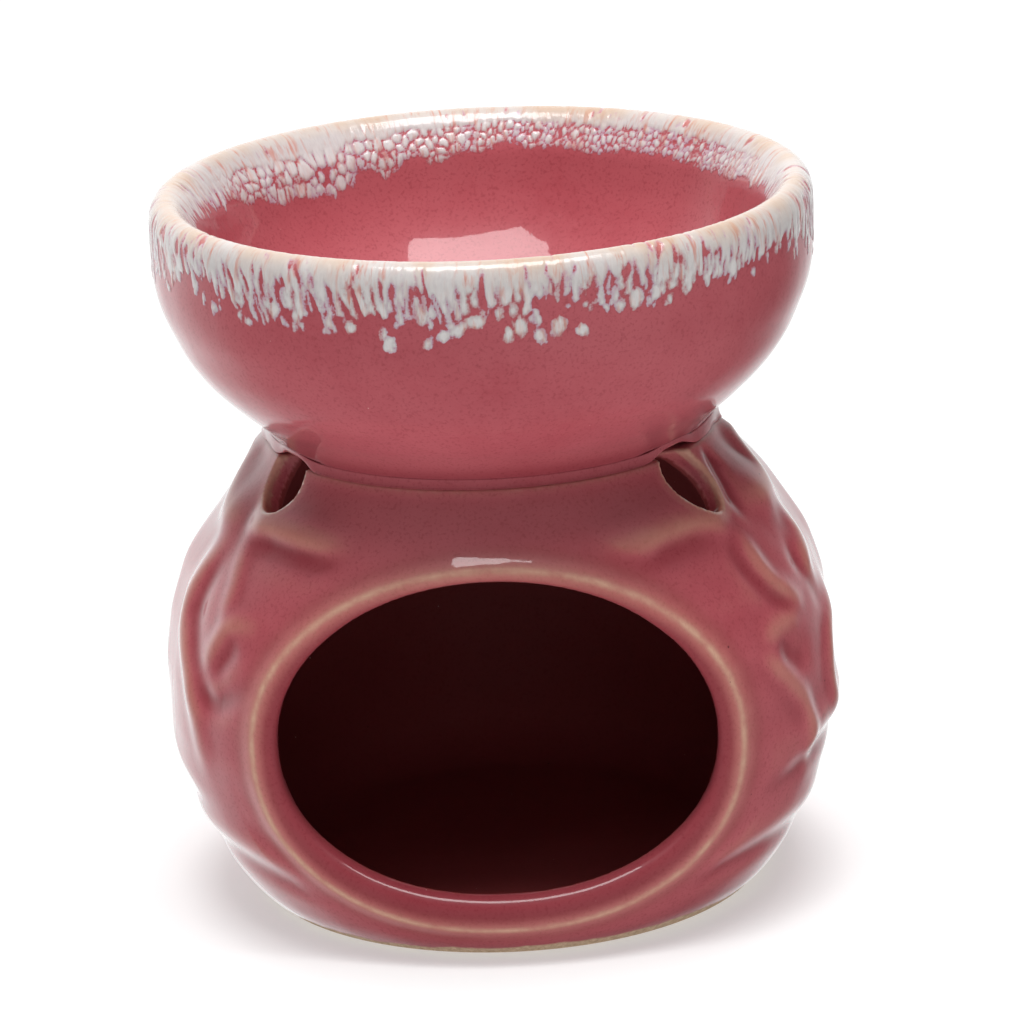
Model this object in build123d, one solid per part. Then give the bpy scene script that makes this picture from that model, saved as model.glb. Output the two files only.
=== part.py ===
from build123d import *
import os

# Ceramic tealight wax warmer, in millimetres, +Z up.
# The origin is the centre of the foot, on the surface that the warmer stands on.
# The tealight opening faces -Y. Two clay parts are luted together with slip at the neck,
# and a second, white glaze is poured over the rim of the bowl.

WALL = 4.2
FOOT_RADIUS = 38.6
FOOT_ROUND = 0.9
FOOT_INNER_RADIUS = 33.0
FOOT_RECESS = 1.4
FLOOR_TOP = 5.4
FLOOR_RADIUS = 37.5
BELLY_RADIUS = 54.0
BELLY_HEIGHT = 34.0
SHOULDER_RADIUS = 39.2
SHOULDER_TOP = 70.0
COLLAR_RADIUS = 35.6
COLLAR_BORE = 31.4
COLLAR_TOP = 73.0
BORE_FOOT = 70.6

SLIP_THICKNESS = 1.0
SLIP_RADIUS = 35.0

BOWL_FOOT_RADIUS = 34.2
BOWL_SKIN = ((36.2, 78.2), (45.0, 86.0), (50.0, 94.0))
RIM_RADIUS = 52.1
RIM_SIDE_TOP = 111.4
RIM_TOP = 114.3
RIM_CREST_RADIUS = 50.0
RIM_INNER_RADIUS = 47.2
RIM_INNER_TOP = 112.8
SLOPE_FOOT = (44.2, 108.4)
BOWL_HOLLOW = ((42.9, 101.0), (38.6, 91.5), (27.0, 83.0))
BOWL_FLOOR_TOP = 79.5
RIM_GLAZE = 0.4
RIM_GLAZE_SKIRT = 101.5

OPENING_HALF_WIDTH = 34.0
OPENING_BOTTOM = 11.6
OPENING_TOP = 62.0
OPENING_WIDEST = 34.0

VENT_LENGTH = 10.8
VENT_HEIGHT = 7.6
VENT_SLANT = 30
VENTS = ((-60, 71.2), (58, 69.5), (180, 70.4))
CUT_REACH = 64.0


def revolved(face):
    return revolve(face, axis=Axis.Z, revolution_arc=360)


def outline(lines):
    """A closed face in the XZ plane from lines given as (radius, height) in its own axes."""
    return Plane.XZ * make_face(lines)


def base_body():
    """The hollow base before its holes: a turned shell with a foot ring and an open collar."""
    foot_edge = Line((FOOT_RADIUS, 0), (FOOT_RADIUS + FOOT_ROUND, FOOT_ROUND))
    skin_low = TangentArc((BELLY_RADIUS, BELLY_HEIGHT), foot_edge @ 1, tangent=(0, -1))
    skin_high = TangentArc((BELLY_RADIUS, BELLY_HEIGHT), (SHOULDER_RADIUS, SHOULDER_TOP), tangent=(0, 1))
    shoulder = Line(skin_high @ 1, (COLLAR_RADIUS, COLLAR_TOP))
    collar = Line(shoulder @ 1, (COLLAR_BORE, COLLAR_TOP))
    bore = Line(collar @ 1, (COLLAR_BORE, BORE_FOOT))
    hollow_belly = (BELLY_RADIUS - WALL, BELLY_HEIGHT)
    hollow_high = TangentArc(hollow_belly, bore @ 1, tangent=(0, 1))
    hollow_low = TangentArc(hollow_belly, (FLOOR_RADIUS, FLOOR_TOP), tangent=(0, -1))
    floor = Line(hollow_low @ 1, (0, FLOOR_TOP))
    axis = Line(floor @ 1, (0, FOOT_RECESS))
    recess = Line(axis @ 1, (FOOT_INNER_RADIUS - FOOT_RECESS, FOOT_RECESS))
    recess_edge = Line(recess @ 1, (FOOT_INNER_RADIUS, 0))
    foot = Line(recess_edge @ 1, foot_edge @ 0)
    skin = [foot_edge, skin_low, skin_high, shoulder, collar, bore]
    hollow = [hollow_high, hollow_low, floor, axis, recess, recess_edge, foot]
    return revolved(outline(skin + hollow))


def opening_tool():
    """The tealight opening: an oval cut straight through the front."""
    centre = (0, OPENING_WIDEST)
    rise = OPENING_TOP - OPENING_WIDEST
    fall = OPENING_WIDEST - OPENING_BOTTOM
    upper = EllipticalCenterArc(centre, OPENING_HALF_WIDTH, rise, start_angle=0, arc_size=180)
    lower = EllipticalCenterArc(centre, OPENING_HALF_WIDTH, fall, start_angle=180, arc_size=180)
    return extrude(Plane.XZ * make_face([upper, lower]), amount=CUT_REACH)


def vent_tool(bearing, height):
    """One air vent: a slanted oval through the shoulder, on a bearing turned from the opening."""
    oval = Rotation(0, 0, -VENT_SLANT) * Ellipse(VENT_LENGTH / 2, VENT_HEIGHT / 2)
    face = Plane.XZ * Pos(0, height) * oval
    return Rotation(0, 0, bearing) * extrude(face, amount=CUT_REACH)


def chamber_base():
    """The hollow base with its opening and its air vents."""
    body = base_body() - opening_tool()
    for bearing, height in VENTS:
        body -= vent_tool(bearing, height)
    return body


def bowl_profile():
    """The bowl's section, with its thick rounded lip, as the glazed outline."""
    underside = COLLAR_TOP + SLIP_THICKNESS
    outer = Spline(
        (BOWL_FOOT_RADIUS, underside),
        *BOWL_SKIN,
        (RIM_RADIUS, RIM_GLAZE_SKIRT),
        tangents=[(0, 1), (0, 1)],
    )
    side = Line(outer @ 1, (RIM_RADIUS, RIM_SIDE_TOP))
    crest = ThreePointArc(side @ 1, (RIM_CREST_RADIUS, RIM_TOP), (RIM_INNER_RADIUS, RIM_INNER_TOP))
    slope = Line(crest @ 1, SLOPE_FOOT)
    inner = Spline(
        slope @ 1,
        *BOWL_HOLLOW,
        (0, BOWL_FLOOR_TOP),
        tangents=[slope % 1, (-1, 0)],
    )
    axis = Line(inner @ 1, (0, underside))
    base = Line(axis @ 1, outer @ 0)
    return outline([outer, side, crest, slope, inner, axis, base]), (side, crest, slope)


def rim_glaze():
    """The second glaze: a thin skin over the side, crest and inner slope of the rim."""
    _, rim_lines = bowl_profile()
    band = Wire(rim_lines).offset_2d(-RIM_GLAZE, side=Side.RIGHT)
    return revolved(Plane.XZ * make_face(band))


def wax_bowl():
    """The dish for the wax, in one clay part with its lip."""
    face, _ = bowl_profile()
    return revolved(face)


def luting_slip():
    """The ring of slip that joins the bowl to the collar."""
    top = COLLAR_TOP + SLIP_THICKNESS
    outer = Line((SLIP_RADIUS, COLLAR_TOP), (BOWL_FOOT_RADIUS, top))
    cap = Line(outer @ 1, (COLLAR_BORE, top))
    bore = Line(cap @ 1, (COLLAR_BORE, COLLAR_TOP))
    seat = Line(bore @ 1, outer @ 0)
    return revolved(outline([outer, cap, bore, seat]))


nodes = {
    "chamber_base": chamber_base(),
    "luting_slip": luting_slip(),
    "wax_bowl": wax_bowl(),
    "rim_glaze": rim_glaze(),
}

os.makedirs("parts", exist_ok=True)
for name, shape in nodes.items():
    export_step(shape, f"parts/{name}.step")
    print(name, round(shape.volume), "cubic mm")
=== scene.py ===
import math

import bpy
import numpy as np
import openvdb
from mathutils import Matrix, Vector


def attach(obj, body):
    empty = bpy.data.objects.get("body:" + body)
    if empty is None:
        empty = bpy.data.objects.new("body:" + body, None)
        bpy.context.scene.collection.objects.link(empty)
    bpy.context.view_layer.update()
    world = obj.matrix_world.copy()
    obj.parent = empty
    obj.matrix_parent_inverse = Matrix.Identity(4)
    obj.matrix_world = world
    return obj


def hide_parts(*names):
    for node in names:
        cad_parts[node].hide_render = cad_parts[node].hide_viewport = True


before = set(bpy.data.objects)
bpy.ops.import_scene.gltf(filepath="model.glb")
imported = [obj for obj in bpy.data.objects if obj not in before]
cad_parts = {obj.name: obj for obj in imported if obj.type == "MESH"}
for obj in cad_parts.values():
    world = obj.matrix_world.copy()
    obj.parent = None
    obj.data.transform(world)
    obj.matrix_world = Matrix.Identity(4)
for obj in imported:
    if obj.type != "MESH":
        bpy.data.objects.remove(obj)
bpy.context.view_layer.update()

# Glazed ceramic tealight warmer. Every length in the shape code is in millimetres, and a
# bearing is in degrees round +Z from the tealight opening, which faces -Y.
MM = 0.001
TURN = 360.0

# ---------------------------------------------------------------- the turned base
SKIN_HEIGHTS = (-2.0, 0.0, 3.0, 8.0, 14.0, 22.0, 30.0, 38.0, 46.0, 54.0, 60.0, 65.0, 70.0, 73.0, 76.0)
SKIN_RADII = (37.4, 39.5, 42.8, 46.2, 49.0, 51.9, 53.3, 53.1, 51.9, 49.3, 45.6, 42.5, 38.8, 36.4, 34.9)
SKIN_STEP = 0.1
SKIN_BLUR = 1.3
WALL = 4.2
BASE_TOP = 74.6
FLOOR_TOP = 5.4
FLOOR_ROUND = 6.0
FOOT_ROUND = 0.8
FOOT_RECESS = 1.4
FOOT_INNER_RADIUS = 33.0
COLLAR_ROUND = 0.35
FOLDS_TOP = 76.0
FOLDS_FADE = 3.0
FRONT_FROM = 12.0
FRONT_SOFT = 4.0
GRID_HALF = 57
GRID_BELOW = 2
CELL = 0.6

# ---------------------------------------------------------------- the tealight opening
HOLE_HALF = 34.0
HOLE_CENTRE = 35.0
HOLE_UP = 27.0
HOLE_DOWN = 23.4
LIP_HALF = 38.2
LIP_CENTRE = 34.6
LIP_UP = 29.6
LIP_DOWN = 28.6
UPPER_POWER = 2.0
LOWER_POWER = 2.3
LIP_HEIGHT = 0.5
LIP_WIDTH = 1.0
LIP_CLEAR = 4.5

# ---------------------------------------------------------------- the air vents
VENT_HALF_LONG = 6.5
VENT_HALF_WIDE = 4.5
VENT_LEAN = 22.0
VENT_PITCH = 42.0
VENT_DEPTH = 9.0
VENT_ROUND = 0.7
VENTS = ((-60.0, 72.7, 36.7), (55.4, 70.9, 38.3), (180.0, 71.2, 38.1))


def blurred(values, sigma):
    """A row of numbers smoothed with a Gaussian that is sigma samples wide."""
    reach = int(4 * sigma) + 1
    kernel = np.exp(-0.5 * (np.arange(-reach, reach + 1) / sigma) ** 2)
    padded = np.pad(values, reach, mode="edge")
    return np.convolve(padded, kernel / kernel.sum(), mode="valid")


def smooth_table(places, values, step, blur):
    """A smooth curve through knots, as evenly spaced samples."""
    at = np.arange(places[0], places[-1] + step, step)
    return at, blurred(np.interp(at, places, values), blur / step)


SKIN_AT, SKIN = smooth_table(SKIN_HEIGHTS, SKIN_RADII, SKIN_STEP, SKIN_BLUR)
SKIN_SLOPE = np.gradient(SKIN, SKIN_AT)


def oval(x, z, half, centre, up, down):
    """Signed distance to an upright oval whose lower half is a little fuller, negative inside."""
    dz = z - centre
    high = dz > 0
    tall = np.where(high, up, down)
    power = np.where(high, UPPER_POWER, LOWER_POWER)
    px = np.abs(x) / half + 1e-9
    pz = np.abs(dz) / tall + 1e-9
    total = px**power + pz**power
    size = total ** (1 / power)
    gx = size * px ** (power - 1) / total / half
    gz = size * pz ** (power - 1) / total / tall
    return (size - 1) / np.hypot(gx, gz)


def both(a, b, radius):
    """What two solids share, with the edge between them rounded."""
    over = np.hypot(np.maximum(a + radius, 0), np.maximum(b + radius, 0))
    return np.minimum(np.maximum(a, b), -radius) + over


def catmull(points, pieces):
    """A smooth line through points, as many short pieces."""
    p = np.array(points, float)
    p = np.vstack([2 * p[0] - p[1], p, 2 * p[-1] - p[-2]])
    t = np.linspace(0, 1, pieces, endpoint=False)[:, None]
    out = []
    for i in range(1, len(p) - 2):
        a, b, c, d = p[i - 1 : i + 3]
        square, cube = 2 * a - 5 * b + 4 * c - d, 3 * b - a - 3 * c + d
        out.append(0.5 * (2 * b + (c - a) * t + square * t**2 + cube * t**3))
    out.append(p[-2][None])
    return np.vstack(out)


# ---------------------------------------------------------------- the petal relief
# Each fold is (height, width on its left, width on its right, taper at start, taper at end, points).
# Left and right are as seen walking along the points; a point is (bearing, height).
RELIEF_RADIUS = 50.0
RELIEF_CELL = 0.4
RELIEF_BLUR = 0.5
RELIEF_FOOT = -2
RELIEF_OVER = 4
FOLD_REACH = 10
FOLDS = (
    # left of the opening: the leaf under the vent, its groove, and the folds beside it
    (1.8, 2.6, 0.9, 0.25, 0.45, ((-66, 66.2), (-58, 66.6), (-50, 66.6), (-42, 66.3), (-34, 65.9),
                                 (-27, 65.1))),
    (-1.0, 1.1, 2.4, 0.3, 0.45, ((-62, 64.2), (-54, 63.9), (-46, 63.8), (-38, 63.7), (-31, 64.2),
                                 (-26, 65.0))),
    (1.1, 4.5, 5.0, 0.3, 0.3, ((-100, 66), (-97, 58), (-95, 50), (-94, 42), (-94, 34), (-96, 27))),
    (1.5, 2.2, 2.6, 0.05, 0.3, ((-97, 74.5), (-88, 72.2), (-83, 69.0), (-78, 66.6), (-70, 65.6),
                                (-64, 66.0))),
    (1.25, 1.2, 3.0, 0.25, 0.4, ((-67, 66.5), (-69.4, 62), (-72.6, 56.8), (-73.6, 50.5), (-70.4, 46.2),
                                 (-66, 41), (-63.0, 35), (-62.3, 29.6), (-66.5, 24.4))),
    (-0.5, 2.0, 1.6, 0.3, 0.4, ((-66, 62), (-68.0, 56), (-68.5, 50.5), (-66.5, 46.5), (-63, 41.5),
                                (-61.5, 37))),
    (0.55, 1.4, 1.8, 0.4, 0.4, ((-63.4, 64.6), (-59.6, 59.9), (-58.0, 56.4), (-58.4, 53.2), (-60, 50.6))),
    (0.85, 1.2, 1.8, 0.4, 0.5, ((-62, 42.4), (-60.4, 45.8), (-57.7, 49.4), (-54.8, 52.0), (-50.4, 52.6),
                                (-44, 52.0))),
    (-0.75, 1.5, 1.3, 0.3, 0.4, ((-64.2, 42.5), (-61.6, 39.9), (-57.4, 39.1), (-53.3, 40.2), (-49.2, 42),
                                 (-45.4, 42.5))),
    (-0.5, 1.3, 1.3, 0.4, 0.5, ((-50.2, 49.8), (-54.7, 46.6), (-57, 43.7), (-57.6, 41.2))),
    # right of the opening
    (1.5, 1.2, 3.0, 0.25, 0.4, ((62, 64.6), (55.6, 65.3), (46, 65.7), (36, 65.6), (28, 65.5), (20, 65.3))),
    (-0.9, 2.4, 1.3, 0.4, 0.5, ((56, 63.2), (48, 63.9), (40, 63.6), (33, 62.0), (29, 60.6))),
    (-0.8, 1.6, 1.5, 0.2, 0.3, ((70, 73), (67.4, 70.4), (66, 67), (63.2, 63.4))),
    (1.5, 3.2, 2.2, 0.05, 0.4, ((92, 74.5), (88, 71), (86, 66.4), (79, 65.2), (71, 65.2), (66, 63.4))),
    (0.95, 1.8, 1.1, 0.3, 0.4, ((60.5, 63.6), (60.2, 60), (60.6, 56.6), (63, 53.2), (68, 50.3), (73, 49.2))),
    (-0.7, 1.2, 1.6, 0.3, 0.4, ((56, 63.4), (55.8, 58.7), (58.4, 54.4), (63.5, 50.7), (71, 47.6))),
    (1.0, 2.6, 1.4, 0.3, 0.4, ((86, 62), (83, 57), (79, 53.6), (79, 50.2), (79.4, 46))),
    (-0.6, 1.5, 1.5, 0.3, 0.4, ((72, 57), (76, 53), (78.4, 49), (77.5, 45))),
    (0.65, 1.6, 1.6, 0.4, 0.3, ((71, 49), (65, 48.4), (59, 48.0), (54.4, 47.2), (51.9, 46.4))),
    (0.8, 1.5, 1.6, 0.2, 0.4, ((51.9, 46.4), (54.8, 43.2), (59, 39.2), (63, 35), (65.1, 29.6), (66.6, 24),
                               (70, 19))),
    (-0.5, 1.4, 1.4, 0.4, 0.4, ((56.5, 46.0), (60, 43.4), (64, 41.4), (69, 41.4))),
    (1.0, 1.8, 1.8, 0.3, 0.4, ((92, 48), (86, 44.5), (80, 41), (77.5, 36), (78.6, 30), (82, 24))),
    # round the back: drapery that falls from the neck, each fold steep on one side and soft on the other
    (1.2, 1.8, 4.6, 0.25, 0.4, ((111, 72), (106, 64), (102, 56), (102, 48), (107, 40), (112, 31))),
    (1.0, 1.8, 4.2, 0.30, 0.4, ((128, 70), (124, 62), (119, 55), (118, 47), (122, 40), (128, 34))),
    (1.2, 2.0, 4.8, 0.25, 0.4, ((148, 71), (142, 62), (137, 54), (136, 45), (141, 36), (147, 27))),
    (0.9, 1.8, 4.0, 0.35, 0.5, ((163, 63), (159, 57), (155, 50), (155, 44), (159, 38))),
    (1.1, 2.0, 4.6, 0.30, 0.4, ((186, 64), (181, 57), (175, 50), (172, 42), (175, 34), (181, 25))),
    (0.9, 1.8, 4.0, 0.30, 0.5, ((205, 69), (200, 61), (194, 54), (192, 47), (194, 41))),
    (1.2, 2.0, 4.8, 0.25, 0.4, ((224, 71), (218, 62), (212, 54), (209, 45), (212, 36), (218, 28))),
    (0.9, 1.8, 4.2, 0.30, 0.5, ((240, 70), (235, 62), (230, 55), (228, 48), (231, 41))),
    (1.1, 2.0, 4.6, 0.25, 0.4, ((256, 72), (252, 64), (247, 56), (245, 48), (248, 39), (253, 30))),
    (-0.6, 2.4, 1.6, 0.4, 0.5, ((146, 60), (141, 53), (140, 45), (145, 37))),
    (-0.6, 2.4, 1.6, 0.4, 0.5, ((222, 60), (216, 53), (213, 45), (216, 37))),
    (-0.5, 2.4, 1.6, 0.4, 0.5, ((183, 55), (178, 48), (176, 41), (180, 33))),
)
# Where each lobe ends low on the body: (bearing, height, depth of the step, width in bearing).
LOBE_ENDS = (
    (-100, 22, 0.8, 26), (-62, 12.5, 0.7, 20), (78, 25, 0.8, 20), (60, 12.0, 0.7, 22),
    (118, 21, 0.8, 24), (158, 14, 0.7, 22), (196, 23, 0.8, 24), (232, 13, 0.7, 22),
)


def relief_table():
    """Radial height of the moulded folds over the base, as rows of height and columns of bearing."""
    per_turn = int(2 * math.pi * RELIEF_RADIUS / RELIEF_CELL)
    bearings = np.arange(per_turn) * TURN / per_turn
    heights = np.arange(RELIEF_FOOT, BASE_TOP + RELIEF_OVER, RELIEF_CELL)
    u, v = np.meshgrid(bearings, heights)
    along = math.radians(1) * RELIEF_RADIUS
    total, crests, creases = np.zeros_like(u), np.zeros_like(u), np.zeros_like(u)
    for height, left, right, start, end, points in FOLDS:
        line = catmull(points, 8)
        a, b = line[:-1], line[1:]
        lengths = np.hypot((b[:, 0] - a[:, 0]) * along, b[:, 1] - a[:, 1])
        reached = np.concatenate([[0], np.cumsum(lengths)])
        middle = line[:, 0].mean()
        du = (u - middle + TURN / 2) % TURN - TURN / 2
        near = np.abs(du) * along < np.ptp(line[:, 0]) * along / 2 + FOLD_REACH
        near &= (v > line[:, 1].min() - FOLD_REACH) & (v < line[:, 1].max() + FOLD_REACH)
        px, py = du[near] * along, v[near]
        best = np.full(px.shape, 1e9)
        side = np.zeros(px.shape)
        place = np.zeros(px.shape)
        for i in range(len(a)):
            ax, ay = (a[i, 0] - middle) * along, a[i, 1]
            bx, by = (b[i, 0] - middle) * along, b[i, 1]
            ex, ey = bx - ax, by - ay
            t = ((px - ax) * ex + (py - ay) * ey) / (ex * ex + ey * ey)
            held = np.clip(t, 0, 1)
            gap = np.hypot(px - ax - held * ex, py - ay - held * ey)
            closer = gap < best
            best = np.where(closer, gap, best)
            side = np.where(closer, ex * (py - ay) - ey * (px - ax), side)
            place = np.where(closer, (reached[i] + held * lengths[i]) / reached[-1], place)
        blend = 0.5 + 0.5 * np.tanh(side / 18)
        width = right + (left - right) * blend
        rise = np.clip(place / start, 0, 1)
        fall = np.clip((1 - place) / end, 0, 1)
        strength = rise * rise * (3 - 2 * rise) * fall * fall * (3 - 2 * fall)
        total[near] += height * strength * np.exp(-0.5 * (best / width) ** 2)
        mark = crests if height > 0 else creases
        thread = 0.9 if height > 0 else 1.1
        shown = min(abs(height), 1.2) * strength * np.exp(-0.5 * (best / thread) ** 2)
        mark[near] = np.maximum(mark[near], shown)
    for bearing, height, depth, width in LOBE_ENDS:
        du = (u - bearing + TURN / 2) % TURN - TURN / 2
        level = height + 1.2 * np.cos(np.radians(du) * 6)
        swell = np.exp(-0.5 * ((v - level - 3.4) / 2.6) ** 2)
        hollow = 0.8 * np.exp(-0.5 * ((v - level + 1.2) / 1.6) ** 2)
        total += depth * (swell - hollow) * np.exp(-0.5 * (du / width) ** 4)
    reach = 4
    kernel = np.exp(-0.5 * (np.arange(-reach, reach + 1) * RELIEF_CELL / RELIEF_BLUR) ** 2)
    kernel /= kernel.sum()
    for axis in (0, 1):
        total = sum(k * np.roll(total, i - reach, axis=axis) for i, k in enumerate(kernel))
    return total, crests, creases


RELIEF, CRESTS, CREASES = relief_table()


def weights(t):
    """The four cubic B-spline weights of a fraction."""
    return ((1 - t) ** 3 / 6, (3 * t**3 - 6 * t**2 + 4) / 6, (-3 * t**3 + 3 * t**2 + 3 * t + 1) / 6, t**3 / 6)


def relief(bearing, z, table=RELIEF):
    """A table's value at some bearings and heights, smooth to its second derivative."""
    rows, columns = table.shape
    x = (bearing % TURN) / TURN * columns
    y = np.clip((z - RELIEF_FOOT) / RELIEF_CELL, 1, rows - 3)
    i, j = np.floor(x).astype(int), np.floor(y).astype(int)
    wx, wy = weights(x - i), weights(y - j)
    out = 0
    for m in range(4):
        for n in range(4):
            out = out + wy[m] * wx[n] * table[j + m - 1, (i + n - 1) % columns]
    return out


def vent_gap(x, y, z, bearing, height, radius):
    """Signed distance to one slanted oval air vent, square to the shoulder, negative inside."""
    b, pitch, lean = map(math.radians, (bearing, VENT_PITCH, VENT_LEAN))
    outward = (math.sin(b), -math.cos(b))
    dx, dy, dz = x - radius * outward[0], y - radius * outward[1], z - height
    across = dx * math.cos(b) + dy * math.sin(b)
    radial = dx * outward[0] + dy * outward[1]
    down = radial * math.sin(pitch) - dz * math.cos(pitch)
    p = (across * math.sin(lean) + down * math.cos(lean)) / VENT_HALF_LONG
    q = (across * math.cos(lean) - down * math.sin(lean)) / VENT_HALF_WIDE
    size = np.sqrt(p * p + q * q + 1e-9)
    slope = np.sqrt((p / VENT_HALF_LONG) ** 2 + (q / VENT_HALF_WIDE) ** 2 + 1e-9) / size
    hole = (size - 1) / slope
    return np.maximum(hole, -radial - VENT_DEPTH)


def base_gap(x, y, z):
    """Signed distance to the hollow base, negative in the clay."""
    r = np.hypot(x, y)
    bearing = np.degrees(np.arctan2(x, -y))
    skin = np.interp(z, SKIN_AT, SKIN)
    slope = np.interp(z, SKIN_AT, SKIN_SLOPE)
    steep = np.sqrt(1 + slope * slope)
    front = 0.5 - 0.5 * np.tanh((y + FRONT_FROM) / FRONT_SOFT)
    lip = oval(x, z, LIP_HALF, LIP_CENTRE, LIP_UP, LIP_DOWN)
    hole = oval(x, z, HOLE_HALF, HOLE_CENTRE, HOLE_UP, HOLE_DOWN)
    hidden = 1 - front * np.clip(1.15 - lip / LIP_CLEAR, 0, 1)
    folds = relief(bearing, z) * hidden * np.clip((FOLDS_TOP - z) / FOLDS_FADE, 0, 1)
    collar = LIP_HEIGHT * front * np.exp(-0.5 * (lip / LIP_WIDTH) ** 2)
    outer = (r - skin - folds - collar) / steep
    solid = both(both(outer, z - BASE_TOP, COLLAR_ROUND), -z, FOOT_ROUND)
    deep = np.clip(3.0 - 0.05 * (z - 34), 1.7, 4.3)
    solid = both(solid, np.minimum(-hole, 40) * front - 30 * (1 - front), deep)
    hollow = both((r - skin + WALL * steep) / steep, FLOOR_TOP - z, FLOOR_ROUND)
    solid = both(solid, -hollow, 0.5)
    recess = np.maximum((r - FOOT_INNER_RADIUS + z) / math.sqrt(2), z - FOOT_RECESS)
    solid = both(solid, -recess, 0.4)
    for vent in VENTS:
        solid = both(solid, -vent_gap(x, y, z, *vent), VENT_ROUND)
    return solid


def slope_of(gap, p, h):
    """Numeric gradient of a distance field at some points."""
    out = np.empty_like(p)
    for axis in range(3):
        step = np.zeros(3)
        step[axis] = h
        out[:, axis] = (gap(*(p + step).T) - gap(*(p - step).T)) / (2 * h)
    return out


def surface_of(gap, low, high, cell):
    """The surface of a distance field: points on it, quads, and the outward normals."""
    axes = [np.arange(a, b + cell, cell) for a, b in zip(low, high)]
    counts = [len(a) for a in axes]
    values = np.empty(counts, np.float32)
    slab = 12
    for k in range(0, counts[2], slab):
        x, y, z = np.meshgrid(axes[0], axes[1], axes[2][k : k + slab], indexing="ij")
        values[:, :, k : k + slab] = gap(x.ravel(), y.ravel(), z.ravel()).reshape(x.shape)
    limit = 3 * cell
    grid = openvdb.FloatGrid(background=limit)
    grid.copyFromArray(np.clip(values, -limit, limit))
    points, quads = grid.convertToQuads(isovalue=0.0)
    points = points.astype(float) * cell + np.array(low, float)
    for _ in range(3):
        g = slope_of(gap, points, 0.05)
        length = np.maximum(np.linalg.norm(g, axis=1), 0.3)
        move = np.clip(gap(*points.T) / length, -0.6 * cell, 0.6 * cell)
        points -= (g / length[:, None]) * move[:, None]
    normals = slope_of(gap, points, 0.08)
    normals /= np.maximum(np.linalg.norm(normals, axis=1), 1e-6)[:, None]
    corners = points[quads]
    facing = np.cross(corners[:, 2] - corners[:, 0], corners[:, 3] - corners[:, 1])
    if (facing * normals[quads[:, 0]]).sum() < 0:
        quads = quads[:, ::-1]
    return points, quads, normals


def grid_quads(rows, columns, closed):
    """Quads of a grid that closes on itself round its columns, or round both ways."""
    i, j = np.meshgrid(np.arange(rows - (0 if closed else 1)), np.arange(columns), indexing="ij")
    a, b = i * columns + j, i * columns + (j + 1) % columns
    up = ((i + 1) % rows) * columns
    return np.stack([a, b, up + (j + 1) % columns, up + j], -1).reshape(-1, 4)


def make_piece(name, points, quads, normals=None, **values):
    """A smooth mesh piece from millimetre points, with any numbers it carries per point."""
    mesh = bpy.data.meshes.new(name)
    mesh.vertices.add(len(points))
    mesh.vertices.foreach_set("co", (points * MM).astype(np.float32).ravel())
    mesh.loops.add(quads.size)
    mesh.loops.foreach_set("vertex_index", quads.astype(np.int32).ravel())
    mesh.polygons.add(len(quads))
    mesh.polygons.foreach_set("loop_start", np.arange(0, quads.size, 4, dtype=np.int32))
    mesh.update(calc_edges=True)
    mesh.shade_smooth()
    if normals is not None:
        mesh.normals_split_custom_set_from_vertices([tuple(n) for n in normals])
    for label, numbers in values.items():
        layer = mesh.attributes.new(label, "FLOAT", "POINT")
        layer.data.foreach_set("value", np.asarray(numbers, np.float32))
    piece = bpy.data.objects.new(name, mesh)
    bpy.context.scene.collection.objects.link(piece)
    return piece


def settle(piece, material, node):
    """Finishes a piece: its material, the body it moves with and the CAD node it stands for."""
    piece.data.materials.append(material)
    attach(piece, "root")
    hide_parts(node)


def curvature(gap, points, h):
    """How strongly a surface bulges out, in 1/mm: positive on ridges and negative in grooves."""
    total = -6 * gap(*points.T)
    for axis in range(3):
        step = np.zeros(3)
        step[axis] = h
        total += gap(*(points + step).T) + gap(*(points - step).T)
    return total / (h * h)


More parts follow.
